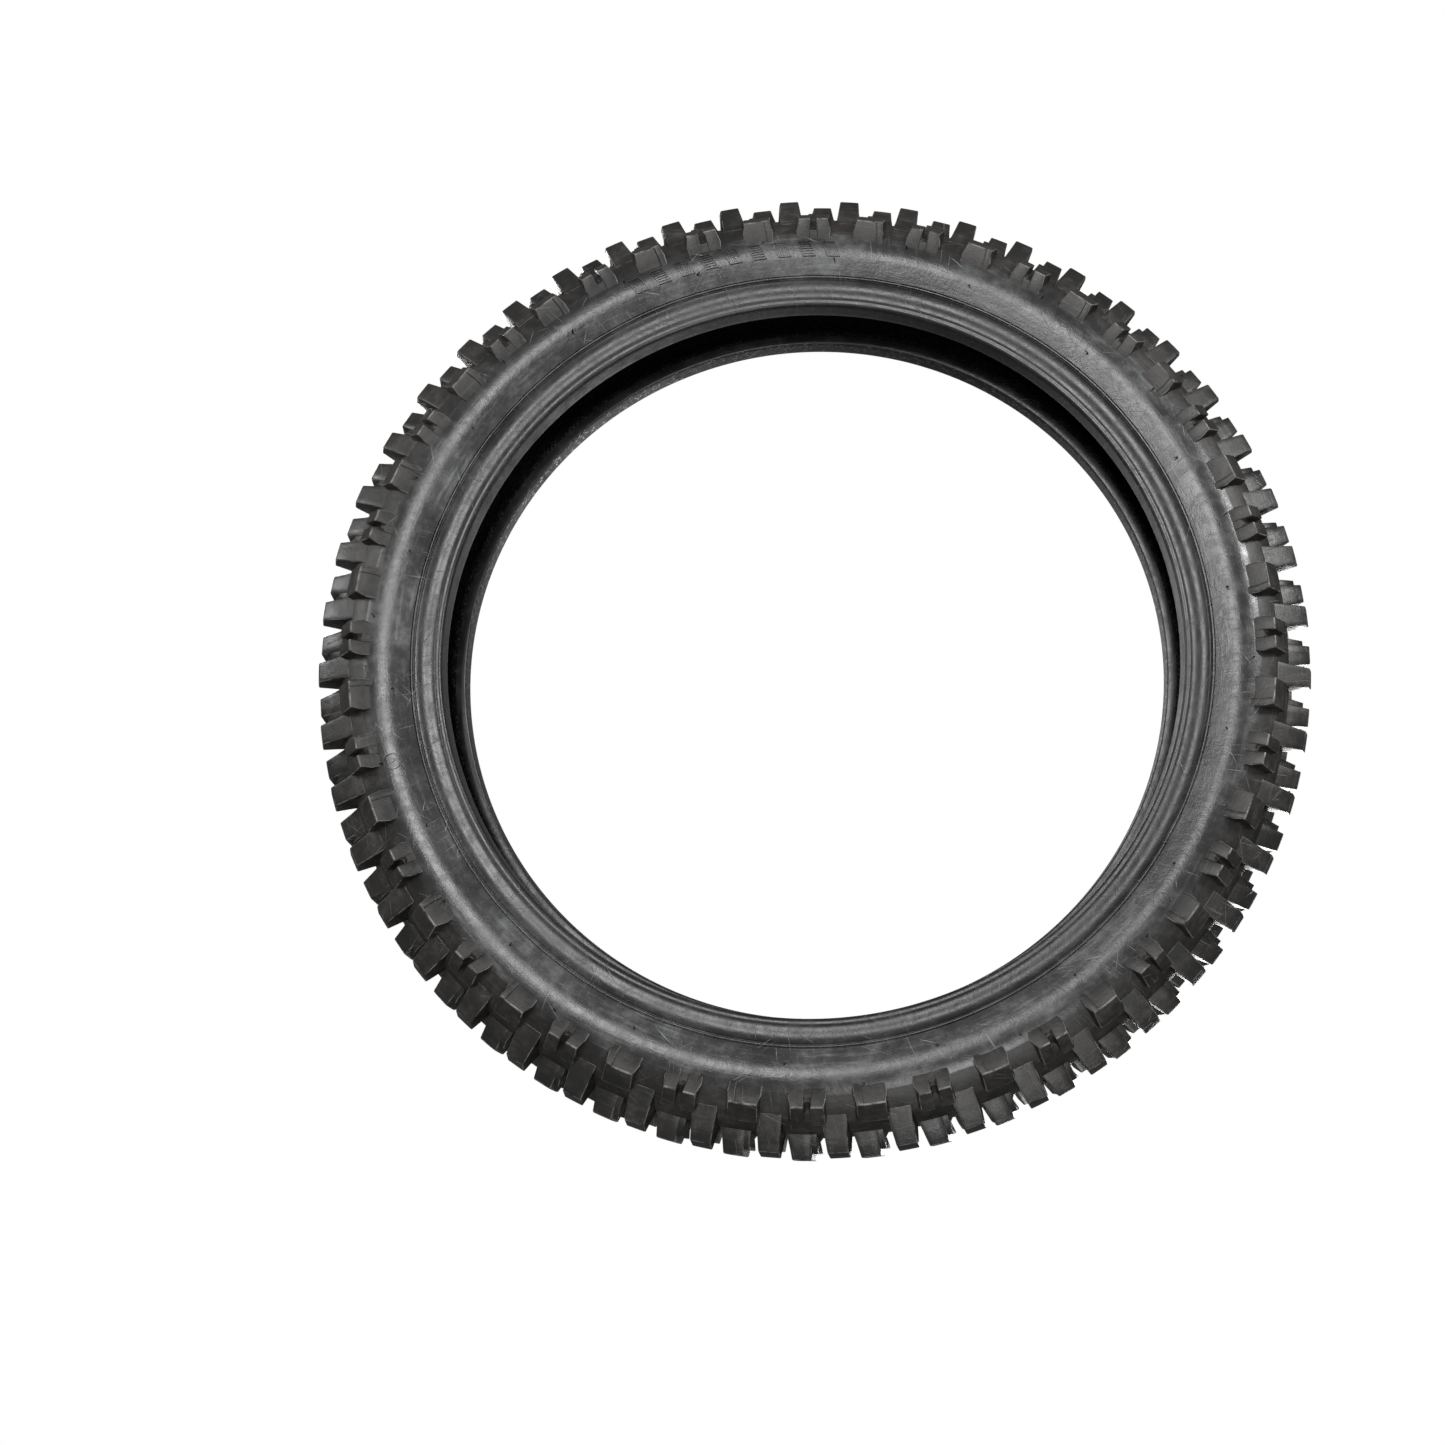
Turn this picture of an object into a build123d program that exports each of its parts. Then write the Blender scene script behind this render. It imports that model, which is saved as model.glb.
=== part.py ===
"""Off-road motorcycle tire, 60/100-14 size, in millimetres.

The tire stands on its tread with its axle axis along Y and its centre at the origin. Section
profiles are drawn in the XY plane, where X is the radius and Y is the distance from the centre
plane, and are turned about the Y axis. Angles along a section start at the crown and open
towards the right sidewall (+Y). Every left piece is the mirror image of its right piece.
The tire rolls so that the angle round the wheel, from +X towards +Z, increases.
"""

from build123d import *
from math import acos, atan2, cos, degrees, radians, sin, sqrt, tan
import os

# ---- Driving dimensions ---------------------------------------------------------------------

BEAD_SEAT_RADIUS = 178.8  # 14 inch cylindrical bead seat rim, 357.6 mm diameter
SECTION_HEIGHT = 55.0  # from the bead seat up to the tread floor at the centre plane
KNOB_HEIGHT = 10.2  # centre knobs over the tread floor
SHOULDER_DROP = 16.0  # from the tread floor at the centre plane down to a shoulder knob's corner
SHOULDER_OUT = 33.3  # the same corner's distance from the centre plane
TREAD_ARC = 37.0  # radius of the line across the tops of the centre and middle knobs

# Casing section, measured at the inner face of the inner liner
CROWN_ARC = 27.0
SIDE_ARC = 15.0
SIDE_ARC_OFFSET = 10.2  # the side arc's centre from the centre plane
BEAD_OFFSET = 16.1  # the bead core's centre from the centre plane

# Layers, from the inside out
LINER = 0.6
PLY = 0.6
BREAKER = 0.7
UNDERTREAD = 0.8
TREAD_RUBBER = 3.0
FLIPPER = 0.4
FLIPPER_FACETS = 16  # flats of the folded flipper strip round the core
SIDE_RUBBER = 2.5  # sidewall rubber over the outer ply
FILLER_EDGE = 0.3  # filler rubber between the casing and the ends of the turned-up plies

# Where the layers end, as angles along the section
BREAKER_EDGE = 34.0
UNDERTREAD_EDGE = 42.0
TREAD_BLEND = 38.0  # where the tread floor leaves the crown arc
TREAD_EDGE = 72.0
INNER_TURN_UP = 92.0
OUTER_TURN_UP = 102.0

# Bead core
WIRE = 0.96
WIRE_PITCH = 1.15
WIRES_PER_ROW = 3
WIRE_COVER = 0.2  # coating rubber outside the outermost wires

# Bead shape outside the plies
SEAT_RUBBER = 0.8  # chafer rubber under the plies at the bead seat
HEEL_RUBBER = 0.8  # chafer rubber beside the plies at the heel
RIM_LINE_RISE = 11.6  # the rim line above the bead seat
CLINCH_RUBBER = 0.4  # chafer rubber over the turned-up plies
CLINCH_DROP = 3.2  # from the rim line down to where the clinch is thinnest
TOE_CHAMFER = 0.8
HEEL_RADIUS = 2.2
RIB_HEIGHT = 0.6
RIB_WIDTH = 1.5

# Tread pattern
STATIONS = 48
FIRST_KNOB = 0.0  # angle of the first split knob round the wheel
KNOB_TAPER = 6.0
KNOB_ROOT = 14.0  # how far under the crown's tread floor the knob sections start
OUTLINE_MARGIN = 6.0  # how far a knob's outline reaches past its section
SPLIT_LENGTH = 14.4
SPLIT_SLOT = 3.0
SPLIT_DEPTH = 4.4
SOLID_LENGTH = 12.6
SHOULDER_HEIGHT = 8.2  # the side face of a shoulder knob, along the radius
SHOULDER_LEAN = 4.0  # how far that face leans out
SHOULDER_IN = 25.2  # inner end of a shoulder knob's top face
SHOULDER_RISE = 8.4  # how far that end stands above the outer corner
SHOULDER_BACK = 2.0  # how far the inner face leans under that end
MIDDLE_LENGTH = 9.2
MIDDLE_OUT = 19.0
MIDDLE_FOOT = 23.4  # the sloping outer face at the knob's root
MIDDLE_IN = 12.2
MIDDLE_BACK = 2.0  # how far the inner face leans under the top face
MIDDLE_SLANT = 1.5
CENTRE_LENGTH = 11.4
CENTRE_OUT = 9.5
CENTRE_FOOT = 17.0  # the sloping end faces at the knob's root
CENTRE_SWEEP = 3.0  # how far the chevron's ends lie behind its tip

# Moulded marks on the sidewalls
MARK_HEIGHT = 0.5
MARK_PLACE = 98.4  # the marks' middle, as an angle along the section
MARK_MARGIN = 8.0  # angle between the tread's edge and the marks
MARK_WIDTH = 7.0
ARROW_ANGLE = 262.0
ARROW_LENGTH = 39.0
RING_ANGLES = (322.0, 197.0)
RING_RADIUS = 4.2
RING_WIDTH = 0.9
BARS_ANGLE = 101.5
BAR_COUNT = 9
BAR_STEP = 3.5
BAR_LENGTH = 9.0
BAR_SLANT = 2.6
SPEW = 1.0
SPEW_LENGTH = 2.2
SPEWS_PER_RING = 18
SPEW_PLACES = (112.5, 84.0)  # the two rows, as angles along the section
SPEW_ANGLE = 7.0  # angle of the first whisker round the wheel

# ---- Section geometry worked out from the driving dimensions ---------------------------------

CROWN_RADIUS = BEAD_SEAT_RADIUS + SECTION_HEIGHT
TREAD_RADIUS = CROWN_RADIUS + KNOB_HEIGHT
SHOULDER_RADIUS = CROWN_RADIUS - SHOULDER_DROP

SIDE_PLIES = LINER + 2 * PLY
CROWN_PLIES = SIDE_PLIES + BREAKER + UNDERTREAD
CROWN_THICKNESS = CROWN_PLIES + TREAD_RUBBER
SIDE_THICKNESS = SIDE_PLIES + SIDE_RUBBER
SIDE_FACE = SIDE_ARC + SIDE_THICKNESS

CORE_RADIUS = (WIRES_PER_ROW - 1) * WIRE_PITCH / sqrt(2) + WIRE / 2 + WIRE_COVER
BEAD_ARC = CORE_RADIUS + FLIPPER + SIDE_PLIES

CROWN_CENTRE = Vector(CROWN_RADIUS - CROWN_THICKNESS - CROWN_ARC, 0)
SIDE_RISE = sqrt((CROWN_ARC - SIDE_ARC) ** 2 - SIDE_ARC_OFFSET**2)
SIDE_CENTRE = CROWN_CENTRE + Vector(SIDE_RISE, SIDE_ARC_OFFSET)
SIDE_START = degrees(atan2(SIDE_ARC_OFFSET, SIDE_RISE))
BEAD_CENTRE = Vector(BEAD_SEAT_RADIUS + SEAT_RUBBER + BEAD_ARC - LINER, BEAD_OFFSET)

# The casing runs down to the core on a line that crosses between the side arc and the bead arc,
# and the plies turn back up on a line that touches both on the outside.
BEAD_WAY = BEAD_CENTRE - SIDE_CENTRE
BEAD_WAY_ANGLE = degrees(atan2(BEAD_WAY.Y, BEAD_WAY.X))
DOWN_ANGLE = BEAD_WAY_ANGLE - degrees(acos((SIDE_ARC + BEAD_ARC) / BEAD_WAY.length))
TURN_GAP = SIDE_ARC + SIDE_PLIES + FILLER_EDGE - (BEAD_ARC - SIDE_PLIES)
UP_ANGLE = BEAD_WAY_ANGLE - degrees(acos(TURN_GAP / BEAD_WAY.length))
TURN_UP_DEPTH = BEAD_ARC - LINER + TURN_GAP - SIDE_ARC

RIM_LINE = BEAD_SEAT_RADIUS + RIM_LINE_RISE
STATION_ANGLE = 360 / STATIONS


def on_arc(centre, radius, angle):
    """The point of a circle in the section at an angle from the crown."""
    return centre + Vector(radius * cos(radians(angle)), radius * sin(radians(angle)))


def tread_top(offset):
    """The radius of the tread's top line at a distance from the centre plane."""
    return TREAD_RADIUS - TREAD_ARC + sqrt(TREAD_ARC**2 - offset**2)


def side_line(depth, radius):
    """The point of the straight lower sidewall at a depth over the liner and a radius."""
    foot = on_arc(SIDE_CENTRE, SIDE_ARC + depth, UP_ANGLE)
    return Vector(radius, foot.Y - (foot.X - radius) * tan(radians(UP_ANGLE - 90)))


def casing_line(depth, end):
    """Draws the casing line at a depth over the liner, from the crown down to the bead arc."""
    CenterArc(CROWN_CENTRE, CROWN_ARC + depth, 0, SIDE_START)
    CenterArc(SIDE_CENTRE, SIDE_ARC + depth, SIDE_START, DOWN_ANGLE - SIDE_START)
    Line(
        on_arc(SIDE_CENTRE, SIDE_ARC + depth, DOWN_ANGLE),
        on_arc(BEAD_CENTRE, BEAD_ARC - depth, DOWN_ANGLE - 180),
    )
    CenterArc(
        BEAD_CENTRE, BEAD_ARC - depth, DOWN_ANGLE - 180, end - (DOWN_ANGLE - 180)
    )


def turn_up_line(depth, end):
    """Draws a ply's turned-up face, from the bead arc up the sidewall to an end angle."""
    Line(
        on_arc(BEAD_CENTRE, BEAD_ARC - depth, UP_ANGLE),
        on_arc(SIDE_CENTRE, BEAD_ARC - depth + TURN_GAP, UP_ANGLE),
    )
    CenterArc(SIDE_CENTRE, BEAD_ARC - depth + TURN_GAP, UP_ANGLE, end - UP_ANGLE)


def ply_outline(inside, outside, end):
    """Draws one half of a ply, from the crown round the bead core and up to its end."""
    for depth in (inside, outside):
        casing_line(depth, UP_ANGLE - 360)
        turn_up_line(depth, end)
    Line(
        on_arc(CROWN_CENTRE, CROWN_ARC + inside, 0),
        on_arc(CROWN_CENTRE, CROWN_ARC + outside, 0),
    )
    Line(
        on_arc(SIDE_CENTRE, BEAD_ARC - inside + TURN_GAP, end),
        on_arc(SIDE_CENTRE, BEAD_ARC - outside + TURN_GAP, end),
    )


def crown_outline(inside, outside, end):
    """Draws half of a layer over the crown, from the centre plane to an end angle."""
    for depth in (inside, outside):
        CenterArc(CROWN_CENTRE, CROWN_ARC + depth, 0, end)
    for angle in (0, end):
        Line(
            on_arc(CROWN_CENTRE, CROWN_ARC + inside, angle),
            on_arc(CROWN_CENTRE, CROWN_ARC + outside, angle),
        )


def tread_floor_line():
    """Draws the tread floor, from the crown to the top of the sidewall."""
    crown = CenterArc(CROWN_CENTRE, CROWN_ARC + CROWN_THICKNESS, 0, TREAD_BLEND)
    return TangentArc(
        crown @ 1,
        on_arc(SIDE_CENTRE, SIDE_FACE, TREAD_EDGE),
        tangent=crown % 1,
    )


def mirrored(piece):
    """The left piece for a right piece."""
    with BuildPart() as left:
        mirror(piece.part, about=Plane.XZ)
    return left


def write(piece, name):
    """Names a finished piece and writes it to its own file."""
    piece.part.label = name
    export_step(piece.part, f"parts/{name}.step")


os.makedirs("parts", exist_ok=True)

# ---- Inner liner and plies --------------------------------------------------------------------

with BuildPart() as inner_liner:
    with BuildSketch():
        with BuildLine():
            casing_line(0, -90)
            casing_line(LINER, -90)
            Line(
                on_arc(CROWN_CENTRE, CROWN_ARC, 0),
                on_arc(CROWN_CENTRE, CROWN_ARC + LINER, 0),
            )
            Line(
                on_arc(BEAD_CENTRE, BEAD_ARC, -90),
                on_arc(BEAD_CENTRE, BEAD_ARC - LINER, -90),
            )
        make_face()
        mirror(about=Plane.XZ)
    revolve(axis=Axis.Y)

with BuildPart() as inner_ply:
    with BuildSketch() as inner_ply_section:
        with BuildLine():
            ply_outline(LINER, LINER + PLY, INNER_TURN_UP)
        make_face()
        mirror(about=Plane.XZ)
    revolve(axis=Axis.Y)

with BuildPart() as outer_ply:
    with BuildSketch() as outer_ply_section:
        with BuildLine():
            ply_outline(LINER + PLY, SIDE_PLIES, OUTER_TURN_UP)
        make_face()
        mirror(about=Plane.XZ)
    revolve(axis=Axis.Y)

# ---- Bead core, flipper and filler --------------------------------------------------------------

row = [(i - (WIRES_PER_ROW - 1) / 2) * WIRE_PITCH for i in range(WIRES_PER_ROW)]
wire_places = [BEAD_CENTRE + Vector(up, out) for up in row for out in row]

with BuildPart() as bead_wires_right:
    for place in wire_places:
        with BuildSketch():
            with Locations(place):
                Circle(WIRE / 2)
        revolve(axis=Axis.Y)

with BuildPart() as bead_coating_right:
    with BuildSketch():
        with Locations(BEAD_CENTRE):
            Circle(CORE_RADIUS)
        with Locations(*wire_places):
            Circle(WIRE / 2, mode=Mode.SUBTRACT)
    revolve(axis=Axis.Y)

flipper_start = DOWN_ANGLE - 180
flipper_turn = UP_ANGLE - 360 - flipper_start
flipper_edge = CORE_RADIUS + FLIPPER
facet = flipper_turn / FLIPPER_FACETS
folds = [flipper_start + i * facet for i in range(FLIPPER_FACETS + 1)]
fold_radius = CORE_RADIUS / cos(radians(facet / 2))  # the flats touch the core

with BuildPart() as bead_flipper_right:
    with BuildSketch():
        with BuildLine():
            Polyline(
                *[on_arc(BEAD_CENTRE, fold_radius, fold) for fold in folds],
                *[on_arc(BEAD_CENTRE, flipper_edge, fold) for fold in reversed(folds)],
                close=True,
            )
        make_face()
    revolve(axis=Axis.Y)

with BuildPart() as bead_filler_right:
    with BuildSketch() as filler_section:
        with BuildLine():
            casing = CenterArc(
                SIDE_CENTRE, SIDE_ARC + SIDE_PLIES, OUTER_TURN_UP, DOWN_ANGLE - OUTER_TURN_UP
            )
            turned = CenterArc(
                SIDE_CENTRE,
                SIDE_ARC + SIDE_PLIES + FILLER_EDGE,
                OUTER_TURN_UP,
                UP_ANGLE - OUTER_TURN_UP,
            )
            core = CenterArc(BEAD_CENTRE, CORE_RADIUS, flipper_start, flipper_turn + 360)
            Line(casing @ 0, turned @ 0)
            Polyline(casing @ 1, on_arc(BEAD_CENTRE, flipper_edge, DOWN_ANGLE - 180), core @ 0)
            Polyline(turned @ 1, on_arc(BEAD_CENTRE, flipper_edge, UP_ANGLE), core @ 1)
        make_face()
    revolve(axis=Axis.Y)

# ---- Chafer, sidewall, breaker and tread --------------------------------------------------------

TOE_OFFSET = BEAD_OFFSET - BEAD_ARC
HEEL_OFFSET = BEAD_OFFSET + BEAD_ARC - LINER + HEEL_RUBBER
waist = side_line(TURN_UP_DEPTH + CLINCH_RUBBER, RIM_LINE - CLINCH_DROP)
rib_foot = side_line(SIDE_THICKNESS, RIM_LINE)
chafer_top = side_line(TURN_UP_DEPTH, RIM_LINE)

with BuildPart() as chafer_right:
    with BuildSketch():
        with BuildLine():
            plies = CenterArc(BEAD_CENTRE, BEAD_ARC - LINER, -90, UP_ANGLE - 270)
            Polyline(plies @ 1, chafer_top, rib_foot)
            base = Polyline(
                plies @ 0,
                (BEAD_CENTRE.X, TOE_OFFSET),
                (BEAD_SEAT_RADIUS + TOE_CHAMFER, TOE_OFFSET),
                (BEAD_SEAT_RADIUS, TOE_OFFSET + TOE_CHAMFER),
                (BEAD_SEAT_RADIUS, HEEL_OFFSET - HEEL_RADIUS),
            )
            heel = TangentArc(
                base @ 1, (BEAD_SEAT_RADIUS + HEEL_RADIUS, HEEL_OFFSET), tangent=(0, 1)
            )
            Spline(heel @ 1, waist, rib_foot, tangents=((1, 0), (1, 2)))
        make_face()
    revolve(axis=Axis.Y)

with BuildPart() as sidewall_right:
    with BuildSketch():
        with BuildLine():
            outside = CenterArc(
                SIDE_CENTRE, SIDE_FACE, TREAD_EDGE, UP_ANGLE - TREAD_EDGE
            )
            Polyline(
                outside @ 1,
                side_line(SIDE_THICKNESS, RIM_LINE + RIB_WIDTH),
                side_line(SIDE_THICKNESS + RIB_HEIGHT, RIM_LINE + RIB_WIDTH / 2),
                rib_foot,
                chafer_top,
                on_arc(SIDE_CENTRE, SIDE_ARC + TURN_UP_DEPTH, UP_ANGLE),
            )
            inner_end = CenterArc(
                SIDE_CENTRE, SIDE_ARC + TURN_UP_DEPTH, UP_ANGLE, INNER_TURN_UP - UP_ANGLE
            )
            outer_end = CenterArc(
                SIDE_CENTRE,
                SIDE_ARC + TURN_UP_DEPTH - PLY,
                INNER_TURN_UP,
                OUTER_TURN_UP - INNER_TURN_UP,
            )
            inside = CenterArc(
                SIDE_CENTRE, SIDE_ARC + SIDE_PLIES, OUTER_TURN_UP, TREAD_EDGE - OUTER_TURN_UP
            )
            Line(inner_end @ 1, outer_end @ 0)
            Line(outer_end @ 1, inside @ 0)
            Line(inside @ 1, outside @ 0)
        make_face()
    revolve(axis=Axis.Y)

with BuildPart() as breaker_ply:
    with BuildSketch() as breaker_section:
        with BuildLine():
            crown_outline(SIDE_PLIES, SIDE_PLIES + BREAKER, BREAKER_EDGE)
        make_face()
        mirror(about=Plane.XZ)
    revolve(axis=Axis.Y)

with BuildPart() as undertread:
    with BuildSketch() as undertread_section:
        with BuildLine():
            crown_outline(SIDE_PLIES, CROWN_PLIES, UNDERTREAD_EDGE)
        make_face()
        mirror(about=Plane.XZ)
        add(breaker_section.sketch, mode=Mode.SUBTRACT)
    revolve(axis=Axis.Y)

with BuildPart() as tread_cap:
    with BuildSketch():
        with BuildLine():
            floor = tread_floor_line()
            side = CenterArc(
                SIDE_CENTRE, SIDE_ARC + SIDE_PLIES, TREAD_EDGE, SIDE_START - TREAD_EDGE
            )
            CenterArc(CROWN_CENTRE, CROWN_ARC + SIDE_PLIES, SIDE_START, -SIDE_START)
            Line(floor @ 1, side @ 0)
            Line((CROWN_RADIUS, 0), on_arc(CROWN_CENTRE, CROWN_ARC + SIDE_PLIES, 0))
        make_face()
        mirror(about=Plane.XZ)
        add(breaker_section.sketch, mode=Mode.SUBTRACT)
        add(undertread_section.sketch, mode=Mode.SUBTRACT)
    revolve(axis=Axis.Y)

# ---- Knobs --------------------------------------------------------------------------------------


with BuildSketch() as casing_section:
    with BuildLine():
        floor = tread_floor_line()
        side = CenterArc(
            SIDE_CENTRE, SIDE_FACE, TREAD_EDGE, UP_ANGLE - TREAD_EDGE
        )
        inside_radius = SIDE_CENTRE.X - SIDE_ARC
        Polyline(
            side @ 1,
            (inside_radius, (side @ 1).Y),
            (inside_radius, 0),
            (CROWN_RADIUS, 0),
        )
    make_face()
    mirror(about=Plane.XZ)


def knob_plane(radius):
    """A plane facing outwards at a radius on +X, with its own x axis along the axle."""
    return Plane(origin=(radius, 0, 0), x_dir=(0, 1, 0), z_dir=(1, 0, 0))


def knob_band(corners):
    """Turns a knob's section, cut to the tread floor, through a short angle about the axle."""
    with BuildPart() as band:
        with BuildSketch():
            with BuildLine():
                Polyline(*corners, close=True)
            make_face()
            add(casing_section.sketch, mode=Mode.SUBTRACT)
        revolve(axis=Axis.Y, revolution_arc=2 * STATION_ANGLE)
    return band.part.rotate(Axis.Y, -STATION_ANGLE)


def knob(corners, outline, top):
    """One knob at the +X station: its section band cut to an outline that tapers outwards.

    The outline's points are (distance from the centre plane, distance round the wheel), true
    at the radius that top gives.
    """
    grow = (top - SIDE_CENTRE.X) * tan(radians(KNOB_TAPER))
    with BuildPart() as made:
        with BuildSketch(knob_plane(SIDE_CENTRE.X)):
            with BuildLine():
                Polyline(*outline, close=True)
            make_face()
            offset(amount=grow, kind=Kind.INTERSECTION)
        extrude(amount=TREAD_RADIUS - SIDE_CENTRE.X + OUTLINE_MARGIN, taper=KNOB_TAPER)
        add(knob_band(corners), mode=Mode.INTERSECT)
    return made


def block(low, high, length):
    """A plain rectangular knob outline."""
    half = length / 2
    return [(low, -half), (high, -half), (high, half), (low, half)]


def ring_of(piece, first, step, count):
    """Copies a piece round the wheel, from a first angle in equal steps."""
    turns = [-(first + i * step) for i in range(count)]
    with BuildPart() as ring:
        add([piece.part.rotate(Axis.Y, turn) for turn in turns])
    return ring


shoulder_corner = Vector(SHOULDER_RADIUS, SHOULDER_OUT)
shoulder_inner = Vector(SHOULDER_RADIUS + SHOULDER_RISE, SHOULDER_IN)
shoulder_foot = shoulder_corner - Vector(SHOULDER_HEIGHT, SHOULDER_LEAN)
shoulder_section = [
    shoulder_foot,
    shoulder_corner,
    shoulder_inner,
    (shoulder_foot.X, SHOULDER_IN - SHOULDER_BACK),
]
root_radius = CROWN_RADIUS - KNOB_ROOT
middle_section = [
    (root_radius, MIDDLE_FOOT),
    (tread_top(MIDDLE_OUT), MIDDLE_OUT),
    (tread_top(MIDDLE_IN), MIDDLE_IN),
    (root_radius, MIDDLE_IN - MIDDLE_BACK),
]
centre_section = [
    (root_radius, -CENTRE_FOOT),
    (tread_top(CENTRE_OUT), -CENTRE_OUT),
    (TREAD_RADIUS, 0),
    (tread_top(CENTRE_OUT), CENTRE_OUT),
    (root_radius, CENTRE_FOOT),
]
shoulder_span = (SHOULDER_IN - 2 * OUTLINE_MARGIN, SHOULDER_OUT + OUTLINE_MARGIN)
middle_span = (MIDDLE_IN - MIDDLE_BACK, MIDDLE_FOOT + OUTLINE_MARGIN)
centre_reach = CENTRE_FOOT + OUTLINE_MARGIN

solid_knob = knob(shoulder_section, block(*shoulder_span, SOLID_LENGTH), SHOULDER_RADIUS)
plain_split_knob = knob(shoulder_section, block(*shoulder_span, SPLIT_LENGTH), SHOULDER_RADIUS)

# The slot's floor runs level with the knob's top face, deep enough to split the side face.
top_slope = (shoulder_corner - shoulder_inner).normalized()
top_normal = Vector(top_slope.Y, -top_slope.X)
slot_floor = shoulder_corner - top_normal * SPLIT_DEPTH

with BuildPart() as split_knob:
    add(plain_split_knob.part)
    with BuildSketch():
        with BuildLine():
            Polyline(
                slot_floor + top_slope * SHOULDER_OUT,
                slot_floor - top_slope * SHOULDER_OUT,
                slot_floor - top_slope * SHOULDER_OUT + top_normal * 3 * SPLIT_DEPTH,
                slot_floor + top_slope * SHOULDER_OUT + top_normal * 3 * SPLIT_DEPTH,
                close=True,
            )
        make_face()
    extrude(amount=SPLIT_SLOT / 2, both=True, mode=Mode.SUBTRACT)

middle_half = MIDDLE_LENGTH / 2
middle_knob = knob(
    middle_section,
    [
        (middle_span[0], -middle_half),
        (middle_span[1], -middle_half),
        (middle_span[1], middle_half - MIDDLE_SLANT),
        (middle_span[0], middle_half),
    ],
    tread_top(MIDDLE_OUT),
)

centre_half = CENTRE_LENGTH / 2
centre_knob = knob(
    centre_section,
    [
        (0, centre_half),
        (centre_reach, centre_half - CENTRE_SWEEP),
        (centre_reach, -centre_half - CENTRE_SWEEP / 3),
        (0, -centre_half + CENTRE_SWEEP / 3),
        (-centre_reach, -centre_half - CENTRE_SWEEP / 3),
        (-centre_reach, centre_half - CENTRE_SWEEP),
    ],
    TREAD_RADIUS,
)

pair_step = 2 * STATION_ANGLE
split_knobs_right = ring_of(split_knob, FIRST_KNOB, pair_step, STATIONS // 2)
solid_knobs_right = ring_of(solid_knob, FIRST_KNOB + STATION_ANGLE, pair_step, STATIONS // 2)
middle_knobs_right = ring_of(
    middle_knob, FIRST_KNOB + STATION_ANGLE / 2, STATION_ANGLE, STATIONS
)
centre_knobs = ring_of(centre_knob, FIRST_KNOB, STATION_ANGLE, STATIONS)

# ---- Moulded marks ------------------------------------------------------------------------------

mark_start = TREAD_EDGE + MARK_MARGIN
mark_turn = UP_ANGLE - mark_start
mark_radius = on_arc(SIDE_CENTRE, SIDE_FACE, MARK_PLACE).X

with BuildPart() as mark_band:
    with BuildSketch():
        with BuildLine():
            face = CenterArc(SIDE_CENTRE, SIDE_FACE, mark_start, mark_turn)
            raised = CenterArc(SIDE_CENTRE, SIDE_FACE + MARK_HEIGHT, mark_start, mark_turn)
            Line(face @ 0, raised @ 0)
            Line(face @ 1, raised @ 1)
        make_face()
    revolve(axis=Axis.Y)


def wheel_point(radius, angle):
    """The point of the wheel's side view at a radius and an angle round the wheel."""
    return Vector(radius * cos(radians(angle)), radius * sin(radians(angle)))


def mark_point(angle, along, across):
    """A point of the side view, given along and across the mark that stands at an angle."""
    return wheel_point(mark_radius + across, angle + degrees(along / mark_radius))


half_width = MARK_WIDTH / 2
head = ARROW_LENGTH / 2 - MARK_WIDTH
arrow_points = [
    (-ARROW_LENGTH / 2, -half_width / 2),
    (head, -half_width / 2),
    (head, -half_width),
    (ARROW_LENGTH / 2, 0),
    (head, half_width),
    (head, half_width / 2),
    (-ARROW_LENGTH / 2, half_width / 2),
]

with BuildPart() as direction_arrow_right:
    with BuildSketch(Plane.XZ):
        with BuildLine():
            Polyline(*[mark_point(ARROW_ANGLE, *point) for point in arrow_points], close=True)
        make_face()
    extrude(amount=-2 * SHOULDER_OUT)
    add(mark_band.part, mode=Mode.INTERSECT)

bar_half = BAR_LENGTH / 2
bar_points = [
    (-bar_half, -half_width),
    (bar_half - BAR_SLANT, -half_width),
    (bar_half, half_width),
    (-bar_half + BAR_SLANT, half_width),
]

with BuildPart() as marking_bars_right:
    with BuildSketch(Plane.XZ):
        for i in range(BAR_COUNT):
            bar_angle = BARS_ANGLE + (i - (BAR_COUNT - 1) / 2) * BAR_STEP
            with BuildLine():
                Polyline(*[mark_point(bar_angle, *point) for point in bar_points], close=True)
            make_face()
    extrude(amount=-2 * SHOULDER_OUT)
    add(mark_band.part, mode=Mode.INTERSECT)

with BuildPart() as mark_rings_right:
    with BuildSketch(Plane.XZ):
        with Locations([wheel_point(mark_radius, angle) for angle in RING_ANGLES]):
            Circle(RING_RADIUS)
            Circle(RING_RADIUS - RING_WIDTH, mode=Mode.SUBTRACT)
            Circle(RING_WIDTH)
    extrude(amount=-2 * SHOULDER_OUT)
    add(mark_band.part, mode=Mode.INTERSECT)


def whisker_ring(place, first):
    """Rubber whiskers that stand straight out of the right sidewall, round the wheel."""
    foot = on_arc(SIDE_CENTRE, SIDE_FACE, place)
    out = on_arc(Vector(0, 0), 1, place)
    with BuildPart() as whisker:
        with BuildSketch(Plane(origin=foot, z_dir=out)):
            Circle(SPEW / 2)
        extrude(amount=SPEW_LENGTH)
    return ring_of(whisker, first, 360 / SPEWS_PER_RING, SPEWS_PER_RING)


low_whiskers = whisker_ring(SPEW_PLACES[0], SPEW_ANGLE)
high_whiskers = whisker_ring(SPEW_PLACES[1], SPEW_ANGLE + 180 / SPEWS_PER_RING)
with BuildPart() as vent_spews_right:
    add([low_whiskers.part, high_whiskers.part])

# ---- Files --------------------------------------------------------------------------------------

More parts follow.
